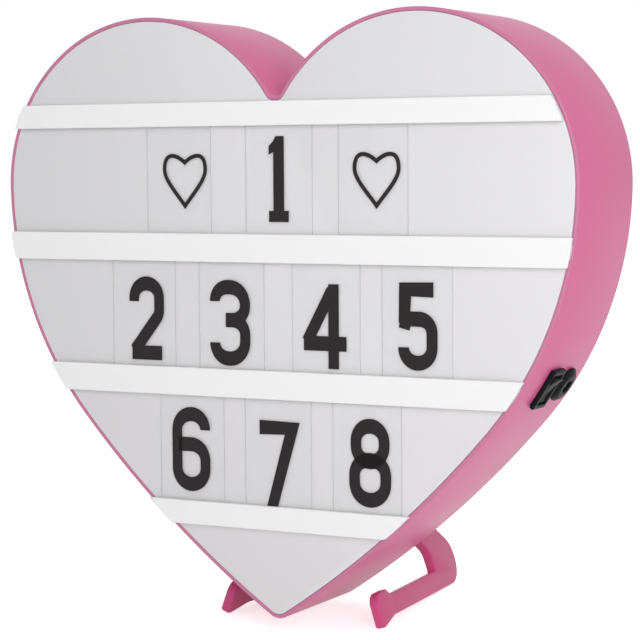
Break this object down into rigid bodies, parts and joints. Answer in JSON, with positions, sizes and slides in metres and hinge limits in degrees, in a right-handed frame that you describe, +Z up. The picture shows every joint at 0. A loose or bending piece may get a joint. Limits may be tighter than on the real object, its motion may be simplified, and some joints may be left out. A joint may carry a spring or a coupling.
{
  "type": "cinema light box",
  "caption": "Heart-shaped cinema light box: shallow casing with a lit front, slotted rails that hold sliding character cards, a rocker switch, a power inlet and plug-in feet.",
  "frame": {"origin": "middle of the floor area under the standing object, on the floor", "axes": "+Z up, the lit front faces -Y and leans back a little, +X to the right of a person who looks at the front"},
  "size_m": [0.2994, 0.1352, 0.2883],
  "materials": {
    "shell": "satin pink moulding",
    "foot": "satin pink moulding, a little deeper",
    "diffuser": "fine matte milk-white sheet",
    "rail": "satin white",
    "card": "clear film with a printed character",
    "strip": "white flexible circuit with light chips",
    "black": "fine satin black",
    "cell": "plain sleeve",
    "contact": "plated spring metal",
    "steel": "bright zinc",
    "board": "green lacquer",
    "wire_red": "smooth insulation",
    "wire_black": "smooth insulation"
  },
  "bodies": {
    "box": {"casing": "shell", "rear_cover": "shell", "diffuser_panel": "diffuser", "rail_top": "rail", "rail_upper": "rail", "rail_lower": "rail", "rail_bottom": "rail", "reflector_sheet": "rail", "light_strip_1": "strip", "light_strip_2": "strip", "light_strip_3": "strip", "strip_jumper_1": "wire_red", "strip_jumper_2": "wire_red", "battery_box": "black", "battery_cell_1": "cell", "battery_cell_2": "cell", "battery_cell_3": "cell", "battery_contact_1": "contact", "battery_contact_2": "contact", "battery_contact_3": "contact", "battery_contact_4": "contact", "box_screw_1": "steel", "box_screw_2": "steel", "cover_screw_1": "steel", "cover_screw_2": "steel", "cover_screw_3": "steel", "cover_screw_4": "steel", "cover_screw_5": "steel", "cover_screw_6": "steel", "switch_housing": "black", "switch_terminal_1": "contact", "switch_terminal_2": "contact", "power_inlet": "black", "inlet_pin": "contact", "inlet_terminal": "contact", "inlet_nut": "steel", "resistor_board": "board", "wire_battery_red": "wire_red", "wire_battery_black": "wire_black", "wire_switch_red": "wire_red", "wire_inlet_red": "wire_red", "wire_inlet_black": "wire_black", "wire_lamp_red": "wire_red", "wire_lamp_black": "wire_black"},
    "rocker": {"switch_rocker": "black"},
    "door": {"battery_door": "shell"},
    "right_foot": {"foot_right": "foot"},
    "left_foot": {"foot_left": "foot"},
    "slide_card_1_1": {"card_1_1": "card"},
    "slide_card_1_2": {"card_1_2": "card"},
    "slide_card_1_3": {"card_1_3": "card"},
    "slide_card_2_1": {"card_2_1": "card"},
    "slide_card_2_2": {"card_2_2": "card"},
    "slide_card_2_3": {"card_2_3": "card"},
    "slide_card_2_4": {"card_2_4": "card"},
    "slide_card_3_1": {"card_3_1": "card"},
    "slide_card_3_2": {"card_3_2": "card"},
    "slide_card_3_3": {"card_3_3": "card"}
  },
  "joints": [
    {"name": "rocker_tilt", "type": "hinge", "parent": "box", "child": "rocker", "pos_m": [0.12145, -0.03188, 0.11695], "axis": [0, 0.9994, -0.0349], "range_deg": [-18, 0]},
    {"name": "battery_door_hinge", "type": "hinge", "parent": "box", "child": "door", "pos_m": [0, 0.00281, 0.12461], "axis": [-1, 0, 0], "range_deg": [0, 80]},
    {"name": "right_foot_plug", "type": "slide", "parent": "box", "child": "right_foot", "axis": [-0.0837, 0.9959, -0.0348], "range_m": [0, 0.0145]},
    {"name": "left_foot_plug", "type": "slide", "parent": "box", "child": "left_foot", "axis": [0.0837, 0.9959, -0.0348], "range_m": [0, 0.0145]},
    {"name": "card_1_1_slide", "type": "slide", "parent": "box", "child": "slide_card_1_1", "axis": [1, 0, 0], "range_m": [-0.066, 0.0091]},
    {"name": "card_1_2_slide", "type": "slide", "parent": "box", "child": "slide_card_1_2", "axis": [1, 0, 0], "range_m": [-0.0091, 0.0064]},
    {"name": "card_1_3_slide", "type": "slide", "parent": "box", "child": "slide_card_1_3", "axis": [1, 0, 0], "range_m": [-0.0064, 0.066]},
    {"name": "card_2_1_slide", "type": "slide", "parent": "box", "child": "slide_card_2_1", "axis": [1, 0, 0], "range_m": [-0.03, 0.0064]},
    {"name": "card_2_2_slide", "type": "slide", "parent": "box", "child": "slide_card_2_2", "axis": [1, 0, 0], "range_m": [-0.0064, 0.0072]},
    {"name": "card_2_3_slide", "type": "slide", "parent": "box", "child": "slide_card_2_3", "axis": [1, 0, 0], "range_m": [-0.0072, 0.0053]},
    {"name": "card_2_4_slide", "type": "slide", "parent": "box", "child": "slide_card_2_4", "axis": [1, 0, 0], "range_m": [-0.0053, 0.03]},
    {"name": "card_3_1_slide", "type": "slide", "parent": "box", "child": "slide_card_3_1", "axis": [1, 0, 0], "range_m": [-0.015, 0.0055]},
    {"name": "card_3_2_slide", "type": "slide", "parent": "box", "child": "slide_card_3_2", "axis": [1, 0, 0], "range_m": [-0.0055, 0.0054]},
    {"name": "card_3_3_slide", "type": "slide", "parent": "box", "child": "slide_card_3_3", "axis": [1, 0, 0], "range_m": [-0.0054, 0.015]}
  ]
}
